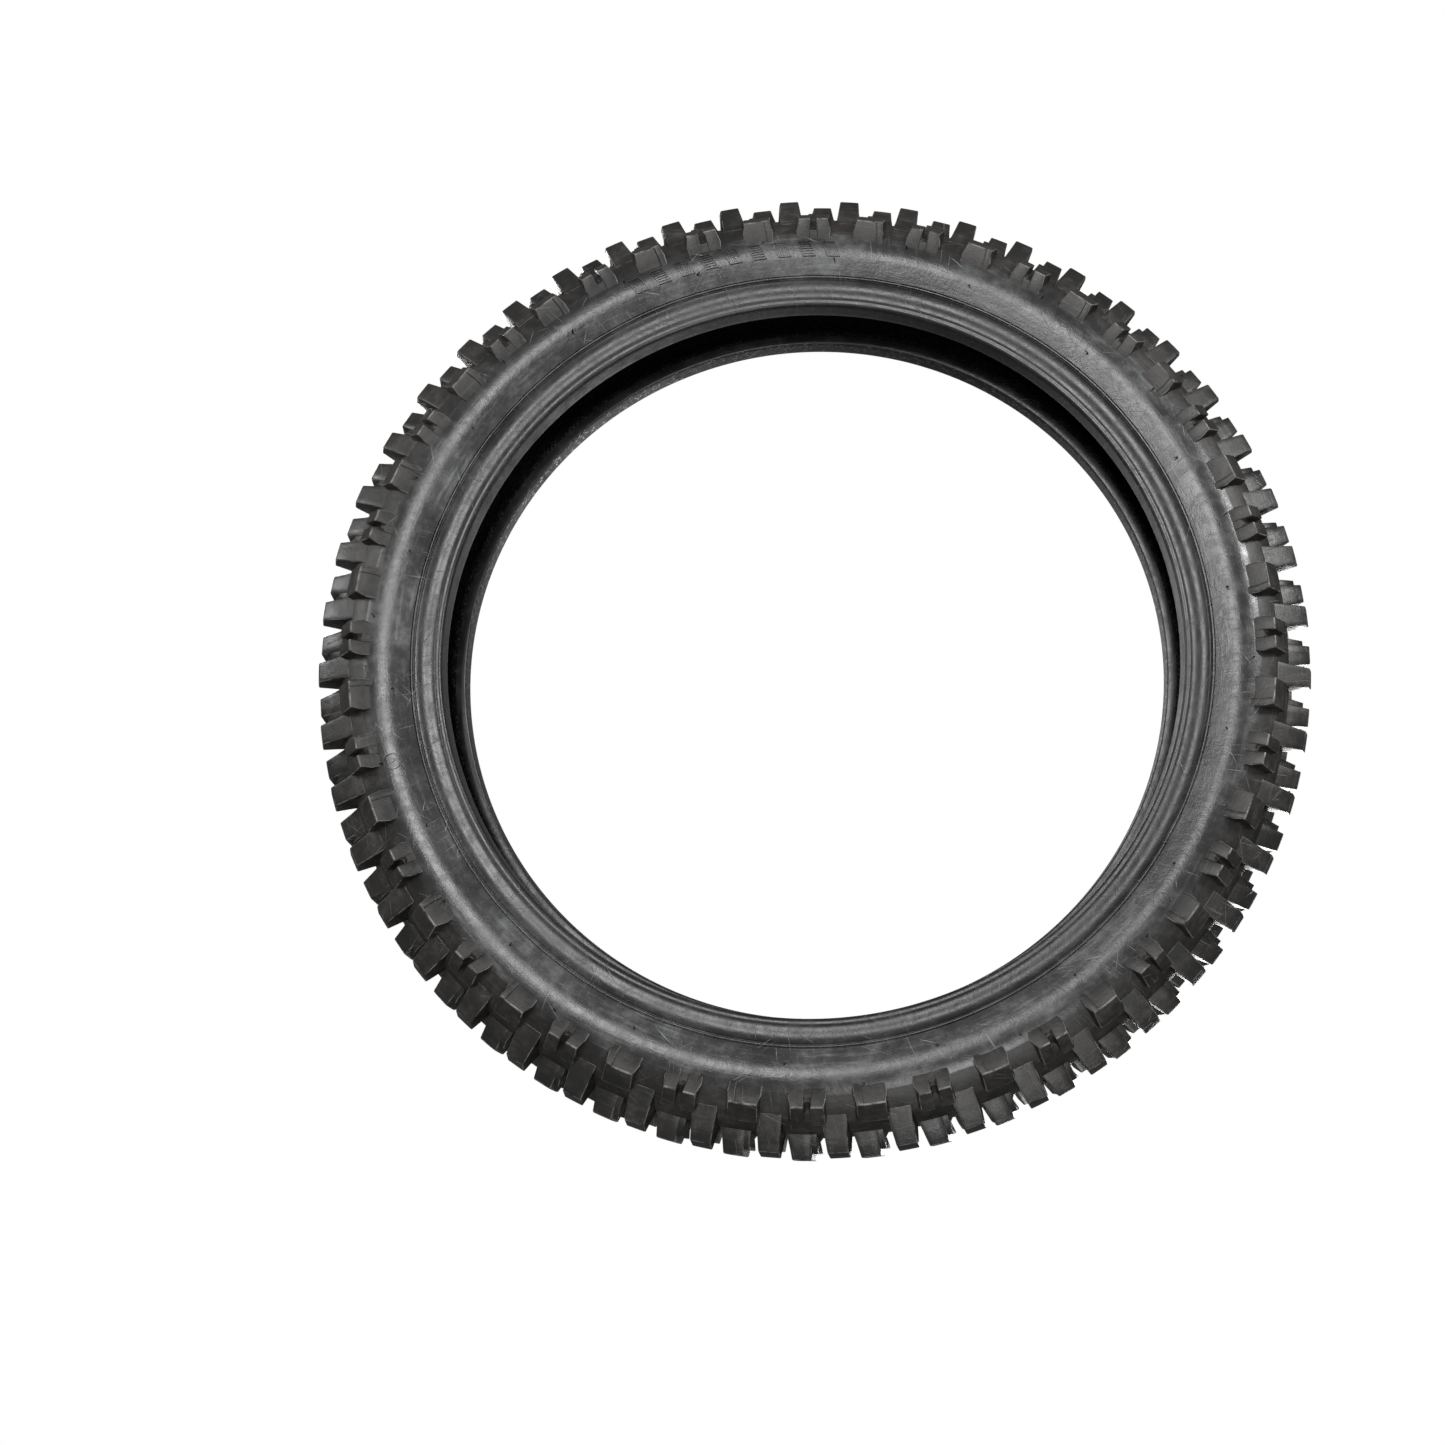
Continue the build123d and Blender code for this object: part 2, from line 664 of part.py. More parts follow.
whole = {
    "inner_liner": inner_liner,
    "inner_ply": inner_ply,
    "outer_ply": outer_ply,
    "breaker_ply": breaker_ply,
    "undertread": undertread,
    "tread_cap": tread_cap,
    "centre_knobs": centre_knobs,
}
pairs = {
    "bead_wires": bead_wires_right,
    "bead_coating": bead_coating_right,
    "bead_flipper": bead_flipper_right,
    "bead_filler": bead_filler_right,
    "chafer": chafer_right,
    "sidewall": sidewall_right,
    "split_knobs": split_knobs_right,
    "solid_knobs": solid_knobs_right,
    "middle_knobs": middle_knobs_right,
    "direction_arrow": direction_arrow_right,
    "marking_bars": marking_bars_right,
    "mark_rings": mark_rings_right,
    "vent_spews": vent_spews_right,
}
for name, piece in whole.items():
    write(piece, name)
for name, piece in pairs.items():
    write(piece, f"{name}_right")
    write(mirrored(piece), f"{name}_left")
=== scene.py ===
import bpy
import math
import numpy as np
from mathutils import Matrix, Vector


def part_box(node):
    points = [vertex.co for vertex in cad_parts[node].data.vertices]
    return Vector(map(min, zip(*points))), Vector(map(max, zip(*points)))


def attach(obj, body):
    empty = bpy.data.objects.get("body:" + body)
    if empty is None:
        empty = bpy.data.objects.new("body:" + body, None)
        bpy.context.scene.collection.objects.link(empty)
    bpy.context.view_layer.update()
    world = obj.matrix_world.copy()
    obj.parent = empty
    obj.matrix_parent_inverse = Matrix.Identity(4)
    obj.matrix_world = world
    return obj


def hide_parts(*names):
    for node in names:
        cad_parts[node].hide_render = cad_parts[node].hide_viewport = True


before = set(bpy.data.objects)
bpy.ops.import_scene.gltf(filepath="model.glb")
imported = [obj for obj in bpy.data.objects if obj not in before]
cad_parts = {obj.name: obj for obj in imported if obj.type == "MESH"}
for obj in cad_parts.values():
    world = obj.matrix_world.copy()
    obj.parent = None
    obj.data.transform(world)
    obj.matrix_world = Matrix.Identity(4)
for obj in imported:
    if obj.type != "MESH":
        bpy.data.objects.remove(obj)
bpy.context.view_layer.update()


# ---- Tread cap ----------------------------------------------------------------------------------
# The layer of hard-wearing rubber that the knobs stand on. It is extruded as a flat strip, laid
# on the green casing and cured in the mould, so its floor between the knobs is smooth and dusty.

MM = 0.001
crown_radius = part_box("tread_cap")[1][2] / MM
crown_arc = 33.3
side_arc = 19.3
side_offset = 10.2
crown_centre = np.array([crown_radius - crown_arc, 0.0])
arc_gap = 2.0
side_rise = math.sqrt((crown_arc - side_arc - arc_gap) ** 2 - side_offset**2)
side_centre = crown_centre + [side_rise, side_offset]
floor_blend = 38.0
floor_edge = 72.0
cap_thickness = 3.0
side_rubber = 2.5


def arc(centre, radius, start, end, count):
    """Points of a circle in the section: centre + radius (cos a, sin a), a in equal steps."""
    a = np.radians(np.linspace(start, end, count))
    return np.asarray(centre) + radius * np.stack([np.cos(a), np.sin(a)], 1)


def bend(start, corner, end, count):
    """A quadratic curve from start to end that leaves and arrives along its corner's sides."""
    t = np.linspace(0, 1, count)[:, None]
    return (1 - t) ** 2 * start + 2 * t * (1 - t) * corner + t**2 * end


def crossing(p, p_way, q, q_way):
    """Where the line through p along p_way meets the line through q along q_way."""
    matrix = np.array([p_way, -np.asarray(q_way)]).T
    return p + np.linalg.solve(matrix, q - p)[0] * np.asarray(p_way)


def way(angle):
    """The direction square to a section angle, towards the bead."""
    return np.array([-math.sin(math.radians(angle)), math.cos(math.radians(angle))])


def solid(name, points, faces, material, edge=None):
    """Makes a mesh object from points in millimetres, with its faces turned outwards.

    The sum of p0 . (p1 x p2) over the corners of the faces has the sign of the volume.
    """
    points = np.asarray(points, float)
    faces = np.asarray(faces, int)
    a, b, c, d = (points[faces[:, i]] for i in range(4))
    volume = np.sum(a * np.cross(b, c)) + np.sum(a * np.cross(c, d))
    if volume < 0:
        faces = faces[:, ::-1]
    mesh = bpy.data.meshes.new(name)
    mesh.from_pydata((points * MM).tolist(), [], faces.tolist())
    if edge is not None:
        mesh.attributes.new("edge", "FLOAT", "POINT").data.foreach_set("value", edge)
    mesh.validate()
    mesh.polygons.foreach_set("use_smooth", np.ones(len(mesh.polygons), bool))
    mesh.set_sharp_from_angle(angle=math.radians(38))
    mesh.materials.append(material)
    piece = bpy.data.objects.new(name, mesh)
    bpy.context.scene.collection.objects.link(piece)
    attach(piece, "root")
    return piece


def ring_faces(rows, columns):
    """The quads of a grid of points that closes on itself both ways."""
    i, j = np.meshgrid(np.arange(rows), np.arange(columns), indexing="ij")
    k, m = (i + 1) % rows, (j + 1) % columns
    quads = [i * columns + j, k * columns + j, k * columns + m, i * columns + m]
    return np.stack(quads, -1).reshape(-1, 4)


def turned(name, profile, material, around=480):
    """A closed ring: each profile point (r, y) goes to (r cos a, y, r sin a) round the axle."""
    profile = np.asarray(profile, float)
    a = np.linspace(0, 2 * math.pi, around, endpoint=False)[:, None]
    r, y = profile[:, 0], profile[:, 1]
    points = np.stack([r * np.cos(a), y + 0 * a, r * np.sin(a)], -1)
    return solid(name, points.reshape(-1, 3), ring_faces(around, len(profile)), material)


class Flow:
    """A number that varies over a surface: arithmetic on it adds Math nodes."""

    def __init__(self, finish, socket):
        self.finish = finish
        self.socket = socket

    def math(self, operation, *others):
        return self.finish.add("ShaderNodeMath", {"operation": operation}, [self, *others])

    def __add__(self, other):
        return self.math("ADD", other)

    def __sub__(self, other):
        return self.math("SUBTRACT", other)

    def __rsub__(self, other):
        return self.finish.add("ShaderNodeMath", {"operation": "SUBTRACT"}, [other, self])

    def __mul__(self, other):
        return self.math("MULTIPLY", other)

    def __pow__(self, other):
        return self.math("POWER", other)

    __radd__ = __add__
    __rmul__ = __mul__

    def between(self, low, high):
        """0 below low, 1 above high and a smooth step from one to the other."""
        settings = {"interpolation_type": "SMOOTHSTEP"}
        return self.finish.add("ShaderNodeMapRange", settings, [self, low, high, 0.0, 1.0])

    def fades(self, low, high):
        """1 below low, 0 above high and a smooth step from one to the other."""
        return 1 - self.between(low, high)


class Finish:
    """A material whose nodes are added one by one."""

    def __init__(self, name):
        self.material = bpy.data.materials.new(name)
        self.material.use_nodes = True
        self.tree = self.material.node_tree
        self.shader = self.tree.nodes["Principled BSDF"]
        place = self.tree.nodes.new("ShaderNodeTexCoord").outputs["Object"]
        self.place = Flow(self, place)
        split = self.tree.nodes.new("ShaderNodeSeparateXYZ")
        self.tree.links.new(place, split.inputs[0])
        self.x, self.y, self.z = (Flow(self, split.outputs[i]) for i in range(3))

    def add(self, kind, settings, values, output=0):
        """Adds one node: its settings first, then a value or a link for each socket."""
        node = self.tree.nodes.new(kind)
        for key, value in settings.items():
            setattr(node, key, value)
        pairs = values.items() if isinstance(values, dict) else enumerate(values)
        for key, value in pairs:
            if isinstance(value, Flow):
                self.tree.links.new(value.socket, node.inputs[key])
            else:
                node.inputs[key].default_value = value
        return Flow(self, node.outputs[output])

    def noise(self, place, scale, detail=4.0, rough=0.55, twist=0.0):
        values = {"Vector": place, "Scale": scale, "Detail": detail, "Roughness": rough}
        values["Distortion"] = twist
        return self.add("ShaderNodeTexNoise", {}, values)

    def mix(self, amount, first, second):
        """A colour between two colours."""
        values = {0: amount, 6: first, 7: second}
        return self.add("ShaderNodeMix", {"data_type": "RGBA"}, values, output=2)

    def feed(self, **flows):
        for name, flow in flows.items():
            self.tree.links.new(flow.socket, self.shader.inputs[name.replace("_", " ")])

    def bump(self, height, strength, distance):
        values = {"Height": height, "Strength": strength, "Distance": distance}
        self.feed(Normal=self.add("ShaderNodeBump", {}, values))


def grey(level, warmth=0.0):
    """A dark colour: warmth above 0 leans to brown and below 0 to blue."""
    return (level * (1 + warmth), level, level * (1 - warmth), 1.0)


def rubber(
    name,
    deep,
    worn,
    chalk,
    chalky,
    gloss,
    scratched,
    dark_within=None,
    dusty=0.0,
    streaky=1.0,
    edges=0.0,
):
    """Cured rubber: a dark body, worn patches, streaks of chalk and straight hair scratches.

    deep, worn and chalk are colours, gloss is the least roughness, and the others say how strong
    an effect is. The streaks run round the wheel, because their noise reads (angle, radius,
    offset) with the angle squeezed. A scratch is a peak of a noise that is squeezed along one
    direction of the side view, s cos t + r sin t, where s is the way round the wheel and r the
    radius. Within the radius dark_within, in millimetres, the rubber is made near-black as painted
    shade, with a print of crossed ribs that is dimmed on the -Y side as painted shade. edges is
    the
    strength of a painted highlight: what the mesh's edge attribute marks is lightened to chalk.
    """
    f = Finish(name)
    radius = (f.x * f.x + f.z * f.z) ** 0.5
    angle = f.add("ShaderNodeMath", {"operation": "ARCTAN2"}, [f.z, f.x])
    round_wheel = f.add("ShaderNodeCombineXYZ", {}, [angle * 0.02, radius, f.y])
    patches = f.noise(f.place, 24.0, 5.0, 0.62, 0.4).between(0.40, 0.72)
    clouds = f.noise(f.place, 140.0, 5.0, 0.7).between(0.40, 0.80)
    streaks = f.noise(round_wheel, 380.0, 4.0, 0.7).between(0.48, 0.78) * streaky
    wear = patches * 0.45 + clouds * 0.3 + streaks * 0.25
    colour = f.mix(wear, deep, worn)
    chalk_mask = patches * clouds * 0.5 + streaks * patches * 0.9
    colour = f.mix(chalk_mask * chalky, colour, chalk)
    reach = 0.21
    scratch = None
    for lean, thin, level in ((25, 1300.0, 0.70), (78, 1700.0, 0.69), (-38, 1500.0, 0.71)):
        c, k = math.cos(math.radians(lean)), math.sin(math.radians(lean))
        along = angle * (reach * c) + radius * k
        across = radius * c - angle * (reach * k)
        ways = f.add("ShaderNodeCombineXYZ", {}, [along * 42.0, across * thin, f.y * 60.0])
        line = f.noise(ways, 1.0, 1.0, 0.5).between(level, level + 0.07)
        scratch = line if scratch is None else scratch.math("MAXIMUM", line)
    scratch = scratch * f.noise(f.place, 38.0, 1.0).between(0.45, 0.60)
    colour = f.mix(scratch * scratched, colour, chalk)
    matt = wear * 0.20 + clouds * 0.08
    # Painted highlight: the edges that the mesh's edge attribute marks are lightened towards
    # chalk, broken up by a noise, as a thin bright highlight; their roughness is lowered too.
    if edges:
        edge = f.add("ShaderNodeAttribute", {"attribute_name": "edge"}, {}, output=2)
        edge_highlight_breaks = f.noise(f.place, 210.0, 3.0, 0.6).between(0.36, 0.62)
        painted_edge_highlight = edge.between(0.55, 0.95) * edge_highlight_breaks * edges
        colour = f.mix(painted_edge_highlight, colour, chalk)
        matt = matt - painted_edge_highlight * 0.08
    if dusty:
        floor_dust = radius.fades((crown_radius - 6.0) * MM, (crown_radius + 7.0) * MM)
        colour = f.mix(floor_dust * clouds * dusty, colour, grey(0.045, 0.22))
        matt = matt + floor_dust * 0.15
    # Painted shade: within dark_within the seat is made near-black, darker than the rest of the
    # strip, as the shade inside the opening; the print of crossed ribs is the rubber's own.
    if dark_within:
        inside = radius.fades((dark_within + 0.05) * MM, (dark_within + 0.3) * MM)
        rib_turn, rib_lean = 330.0, 2600.0
        ribs = (angle * rib_turn + f.y * rib_lean).math("SINE").between(0.55, 0.95)
        other = (angle * rib_turn - f.y * rib_lean).math("SINE").between(0.55, 0.95)
        print_mask = ribs.math("MAXIMUM", other) * f.noise(f.place, 420.0, 3.0).between(0.5, 0.62)
        # Painted shade: the print is dimmed to a fifth on the -Y side, the near bead.
        print_mask = print_mask * (0.2 + f.y.between(0.0, 0.01) * 0.8)
        colour = f.mix(inside, colour, f.mix(print_mask, grey(0.0010), grey(0.09)))
        matt = matt + inside * 0.3 - inside * print_mask * 0.35
        clouds = clouds + inside * print_mask
    grain = f.noise(f.place, 1500.0, 3.0, 0.6)
    pores = f.noise(f.place, 330.0, 4.0, 0.6)
    f.feed(Base_Color=colour, Roughness=gloss + matt)
    f.shader.inputs["Specular IOR Level"].default_value = 0.5
    relief = grain * 0.15 + pores * 0.4 + clouds * 0.4 - scratch * 0.6 + streaks * 0.2
    f.bump(relief, 0.35, 0.0005)
    return f.material


# The tread's edges setting is the strength of a painted highlight along the knobs' edges.
tread_finish = rubber(
    "tread_rubber",
    deep=grey(0.004, 0.08),
    worn=grey(0.020, 0.10),
    chalk=grey(0.16, 0.05),
    chalky=0.22,
    gloss=0.26,
    scratched=0.35,
    dusty=0.3,
    edges=0.9,
)

floor_end = side_centre + side_arc * np.array(
    [math.cos(math.radians(floor_edge)), math.sin(math.radians(floor_edge))]
)
floor_start = arc(crown_centre, crown_arc, 0, floor_blend, 16)
floor_corner = crossing(floor_start[-1], way(floor_blend), floor_end, way(floor_edge))
floor_half = np.concatenate(
    [floor_start[:-1], bend(floor_start[-1], floor_corner, floor_end, 14)]
)
side_start = math.degrees(math.atan2(side_offset, side_rise))
cap_inside = np.concatenate(
    [
        arc(side_centre, side_arc - side_rubber, floor_edge, side_start, 5),
        arc(crown_centre, crown_arc - cap_thickness, side_start, 0, 12)[1:],
    ]
)


def both_sides(half):
    """A section line from the crown out to one side, made whole across the centre plane."""
    return np.concatenate([(half * [1, -1])[:0:-1], half])


cap_profile = np.concatenate([both_sides(floor_half), both_sides(cap_inside[::-1])[::-1]])
tread_floor = turned("tread_floor", cap_profile, tread_finish)
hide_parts("tread_cap")


# ---- Sidewalls ----------------------------------------------------------------------------------
# Thin flexible rubber over the plies, from the shoulder knobs down to the fine rim line that the
# mould's parting ring leaves. Handling has left it chalky, scuffed and finely scratched.

side_edge = 112.56
rim_line_radius = 190.4
rim_line_height = 0.55
skim = 1.0
sidewall_finish = rubber(
    "sidewall_rubber",
    deep=grey(0.011, 0.0),
    worn=grey(0.046, -0.01),
    chalk=grey(0.24, -0.02),
    chalky=0.50,
    gloss=0.27,
    scratched=0.60,
)


def down_side(radius, depth=0.0):
    """The straight lower sidewall's point at a radius, lifted square to it by a depth."""
    foot = arc(side_centre, side_arc + depth, side_edge, side_edge, 1)[0]
    slope = math.tan(math.radians(side_edge - 90))
    return np.array([radius, foot[1] - (foot[0] - radius) * slope])


# A fine groove and a rounded ridge, as (distance above the rim line, height)
rim_line = (
    (2.0, 0.0),
    (1.75, -0.02),
    (1.6, -0.7),
    (1.35, -0.7),
    (1.15, 0.1),
    (0.95, rim_line_height * 0.9),
    (0.7, rim_line_height),
    (0.45, rim_line_height * 0.9),
    (0.25, -0.1),
    (0.0, 0.0),
    (0.0, -skim),
)
side_line = np.concatenate(
    [
        arc(side_centre, side_arc, floor_edge, side_edge, 30),
        [down_side(rim_line_radius + above, height) for above, height in rim_line],
        arc(side_centre, side_arc - skim, side_edge, 92.0, 8),
        arc(side_centre, side_arc - side_rubber, 90.0, floor_edge, 8),
    ]
)
for side, sign in (("right", 1), ("left", -1)):
    sidewall = turned(f"sidewall_skin_{side}", side_line * [1, sign], sidewall_finish)
    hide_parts(f"sidewall_{side}")


# ---- Rim strips ---------------------------------------------------------------------------------
# The hard strip that wraps each bead where the rim grips it: a hollow under the rim line, one
# broad ridge, a rounded heel, and a flat seat that ends in a toe. It is cured on with the rest.

seat_radius = 178.8
seat_end = 18.6
toe_offset = 11.6
heel_offset = 20.8
# The strip's seat, within seat_radius, is painted near-black as shade, with its rib print dimmed
# on the -Y side.
bead_finish = rubber(
    "bead_rubber",
    deep=grey(0.006, 0.0),
    worn=grey(0.024, -0.01),
    chalk=grey(0.16, -0.02),
    chalky=0.25,
    gloss=0.30,
    scratched=0.30,
    dark_within=seat_radius,
    streaky=0.25,
)
rim_foot = down_side(rim_line_radius)
hollow = np.array([187.9, 22.2])
waist = np.array([185.5, 22.05])
ridge = np.array([182.7, 21.9])
ridge_foot = np.array([181.7, 21.1])
strip_outside = np.concatenate(
    [
        [[rim_line_radius, rim_foot[1]]],
        bend(rim_foot - [0.3, 0.5], hollow, waist, 9),
        bend(waist, ridge, ridge_foot, 9)[1:],
    ]
)
heel = bend(
    np.array([181.2, heel_offset]),
    np.array([seat_radius, heel_offset]),
    np.array([seat_radius, seat_end - 0.3]),
    9,
)
seat = [
    (seat_radius, 16.6),
    (seat_radius, 14.2),
    (seat_radius, 12.4),
    (seat_radius + 0.15, 12.0),
    (seat_radius + 0.8, toe_offset),
    (183.5, toe_offset),
]
bead_centre = (183.506, 16.1)
wrap_radius = 3.91
strip_inside = np.concatenate(
    [
        arc(bead_centre, wrap_radius, -90.0, side_edge - 360, 18),
        [down_side(rim_line_radius, -skim)],
    ]
)
strip_line = np.concatenate([strip_outside, heel, seat, strip_inside])
for side, sign in (("right", 1), ("left", -1)):
    strip = turned(f"rim_strip_{side}", strip_line * [1, sign], bead_finish)
    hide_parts(f"chafer_{side}")


# ---- Knobs --------------------------------------------------------------------------------------
# Solid blocks moulded in one with the tread cap, narrower at the top so that the mould lets go.
# Each is a section outline carried along the direction of travel, with its edges rounded.

stations = 48
station = 2 * math.pi / stations
tread_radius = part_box("centre_knobs")[1][2] / MM
tread_arc = 37.0
tread_centre = np.array([tread_radius - tread_arc, 0.0])
knob_taper = math.tan(math.radians(6.0))
knob_edge = 0.55
foot_flare = 0.9
longest_side = 2.2


def tread_top(offset):
    """The radius of the tread's top line at a distance from the centre plane."""
    return tread_centre[0] + math.sqrt(tread_arc**2 - offset**2)


def rounded(corners, reach, steps=4):
    """A closed outline with each corner replaced by a quadratic curve that starts and ends at
    reach from it, and each side divided so that no point is far from the next."""
    corners = np.asarray(corners, float)
    loop = []
    for i, corner in enumerate(corners):
        before = corners[i - 1] - corner
        after = corners[(i + 1) % len(corners)] - corner
        start = corner + before / np.linalg.norm(before) * reach[i]
        end = corner + after / np.linalg.norm(after) * reach[i]
        loop.append(bend(start, corner, end, steps))
    line = np.concatenate(loop)
    following = np.roll(line, -1, axis=0)
    halves = (line + following) / 2
    long = np.linalg.norm(following - line, axis=1) > longest_side
    places = np.concatenate([np.arange(len(line)), np.arange(len(line))[long] + 0.5])
    return np.concatenate([line, halves[long]])[np.argsort(places)]


def turning(loop):
    """How sharply an outline turns at each point, from 0 on a straight to 1 on a rounding."""
    way_in, way_out = loop - np.roll(loop, 1, axis=0), np.roll(loop, -1, axis=0) - loop
    cross = way_in[:, 0] * way_out[:, 1] - way_in[:, 1] * way_out[:, 0]
    length = np.linalg.norm(way_in, axis=1) * np.linalg.norm(way_out, axis=1)
    return np.clip(np.abs(cross / length) * 4 - 0.3, 0, 1)


def inset(loop, amount):
    """The outline moved inwards, square to its own direction, by an amount."""
    along = np.roll(loop, -1, axis=0) - np.roll(loop, 1, axis=0)
    along /= np.linalg.norm(along, axis=1)[:, None]
    square = np.stack([-along[:, 1], along[:, 0]], 1)
    area = np.sum(loop[:, 0] * np.roll(loop[:, 1], -1) - loop[:, 1] * np.roll(loop[:, 0], -1))
    return loop + square * amount * np.sign(area)


def lowered(loop, base, normal):
    """The outline with what stands above a line, along its normal, pressed down onto it."""
    above = np.maximum((loop - base) @ normal, 0)
    return loop - above[:, None] * normal


def knob(loop, length, layers, sweep=0.0, slant=0.0):
    """One knob at the +X station: its stack of outlines, and how far each point is an edge.

    Each layer is (share, inset, pull, shape): its share of the half length, from -1 at one end
    to 1 at the other, how far its outline is drawn in, how far it stands back from that place,
    and a change to its outline or None. The half length grows with depth below the tread top
    and swells at the foot. sweep bends both wings back from the centre plane, and slant turns
    the whole knob.
    """
    rows, edges = [], []
    corner = turning(loop)
    for share, amount, pull, shape in layers:
        section = shape(inset(loop, amount)) if shape else inset(loop, amount)
        r, y = section[:, 0], section[:, 1]
        depth = tread_arc - np.hypot(r - tread_centre[0], y)
        floor = np.hypot(r - crown_centre[0], y) - crown_arc
        flare = foot_flare * np.exp(-np.abs(floor) / foot_flare)
        half = length / 2 + knob_taper * np.maximum(depth, -1) + flare
        around = share * half - np.sign(share) * pull
        around = around - sweep * np.abs(y) + slant * y
        turn = around / r
        rows.append(np.stack([r * np.cos(turn), y, r * np.sin(turn)], 1))
        rim = math.sin(math.pi * min(amount / knob_edge, 1.0)) + 0.35 * (pull > 0)
        edges.append(np.maximum(corner, rim))
    return np.array(rows), np.array(edges)


def closed_grid(rows):
    """Points and quads of a stack of outlines, with each end drawn in to its middle."""
    first, last = rows[0], rows[-1]
    starts = [first + (first.mean(0) - first) * share for share in (0.98, 0.5)]
    ends = [last + (last.mean(0) - last) * share for share in (0.5, 0.98)]
    rows = np.concatenate([starts, rows, ends])
    count, width = rows.shape[:2]
    i, j = np.meshgrid(np.arange(count - 1), np.arange(width), indexing="ij")
    m = (j + 1) % width
    quads = [i * width + j, (i + 1) * width + j, (i + 1) * width + m, i * width + m]
    faces = np.stack(quads, -1).reshape(-1, 4)
    k = np.arange(0, width - 2, 2)
    cap = np.stack([0 * k, k + 1, k + 2, np.minimum(k + 3, width - 1)], 1)
    cap = cap[cap[:, 2] != cap[:, 3]]
    faces = np.concatenate([faces, cap, (cap + (count - 1) * width)[:, ::-1]])
    return rows.reshape(-1, 3), faces


def knob_row(name, made, first, count, node, mirrored=False):
    """Copies one knob round the wheel in equal steps, and stands for a CAD node."""
    rows, edges = made
    points, faces = closed_grid(rows)
    blank = np.zeros((2, rows.shape[1]))
    edges = np.concatenate([blank, edges, blank]).ravel()
    if mirrored:
        points = points * [1, -1, 1]
        faces = faces[:, ::-1]
    turns = first + np.arange(count) * 2 * math.pi / count
    c, s = np.cos(turns)[:, None], np.sin(turns)[:, None]
    x, y, z = points[:, 0], points[:, 1], points[:, 2]
    ring = np.stack([x * c - z * s, y + 0 * c, x * s + z * c], -1)
    every = faces[None] + (np.arange(count) * len(points))[:, None, None]
    every = every.reshape(-1, 4)
    row = solid(name, ring.reshape(-1, 3), every, tread_finish, np.tile(edges, count))
    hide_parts(node)


def end_layers(sign, shape=None):
    """The layers that round an end of a knob, from its flat face to the full outline."""
    return [
        (sign, knob_edge * (1 - math.cos(t)), knob_edge * (1 - math.sin(t)), shape)
        for t in np.radians([90, 60, 30, 0])
    ]


# Shoulder knobs
shoulder_corner = np.array([crown_radius - 16.0, 33.3])
shoulder_inner = shoulder_corner + [8.4, -8.1]
shoulder_foot = shoulder_corner - [8.2, 4.0]
top_slope = (shoulder_corner - shoulder_inner) / np.linalg.norm(shoulder_corner - shoulder_inner)
top_normal = np.array([-top_slope[1], top_slope[0]])
top_normal *= np.sign(top_normal[1])
side_slope = (shoulder_corner - shoulder_foot) / np.linalg.norm(shoulder_corner - shoulder_foot)
side_normal = np.array([-side_slope[1], side_slope[0]])
shoulder_loop = rounded(
    [
        shoulder_foot - side_slope * 1.2,
        shoulder_corner,
        shoulder_inner,
        [crown_radius - 13.0, 23.4],
        [crown_radius - 24.5, 26.0],
    ],
    [0.5, 0.8, 0.8, 0.5, 0.5],
)


def slot_shape(depth):
    """Presses an outline down to the slot's floor."""
    return lambda loop: lowered(loop, shoulder_corner - top_normal * depth, top_normal)


split_length = 14.4
split_half = split_length / 2
slot_half = 1.5
slot_depth = 4.4
slot_edge = knob_edge * 0.8
slot_wall = [
    ((slot_half + slot_edge * (1 - math.sin(t))) / split_half, slot_edge * (1 - math.cos(t)))
    for t in np.radians([0, 30, 60, 90])
]
prong_layers = end_layers(-1)
prong_layers += [(-place, amount, 0.0, None) for place, amount in slot_wall]
for place in (-slot_half, -1.3, -0.9, -0.4, 0.4, 0.9, 1.3, slot_half):
    depth = slot_depth - slot_half + math.sqrt(slot_half**2 - place * place)
    prong_layers.append((place / split_half, 0.0, 0.0, slot_shape(depth)))
prong_layers += [(place, amount, 0.0, None) for place, amount in slot_wall[::-1]]
prong_layers += end_layers(1)[::-1]
split_knob = knob(shoulder_loop, split_length, prong_layers)


def stepped(amount):
    """Moves the side face of a knob out by an amount."""

    def shape(loop):
        near = np.clip(1 + (loop - shoulder_corner) @ side_normal / 1.2, 0, 1)
        return loop + side_normal * (amount * near)[:, None]

    return shape


solid_length = 12.6
step = 0.55
solid_layers = end_layers(-1, stepped(step))
for place, amount in ((-0.62, step), (-0.56, 0.45), (-0.50, 0.0), (0.0, -0.12), (0.8, 0.0)):
    solid_layers.append((place, 0.0, 0.0, stepped(amount)))
solid_layers += end_layers(1)[::-1]
solid_knob = knob(shoulder_loop, solid_length, solid_layers)

# Intermediate knobs
middle_length = 9.4
middle_slant = -0.12
middle_out, middle_in = 19.0, 12.2
middle_loop = rounded(
    [
        [crown_radius - 12.4, 25.0],
        [tread_top(middle_out), middle_out],
        [tread_top(middle_in), middle_in],
        [crown_radius - 4.0, middle_in - 1.5],
    ],
    [0.5, 0.8, 0.8, 0.5],
)
plain = [(place, 0.0, 0.0, None) for place in (-0.6, 0.0, 0.6)]
middle_layers = end_layers(-1) + plain + end_layers(1)[::-1]
middle_knob = knob(middle_loop, middle_length, middle_layers, slant=middle_slant)

# Centre knobs
centre_length = 11.4
centre_sweep = 0.24
centre_out = 9.5
shelf_depth = 3.2
centre_loop = rounded(
    [
        [crown_radius - 4.2, centre_out + 4.6],
        [tread_top(centre_out), centre_out],
        [tread_radius + 0.1, 0.0],
        [tread_top(centre_out), -centre_out],
        [crown_radius - 4.2, -centre_out - 4.6],
        [crown_radius - 2.0, 0.0],
    ],
    [0.5, 0.8, 2.0, 0.8, 0.5, 0.5],
)


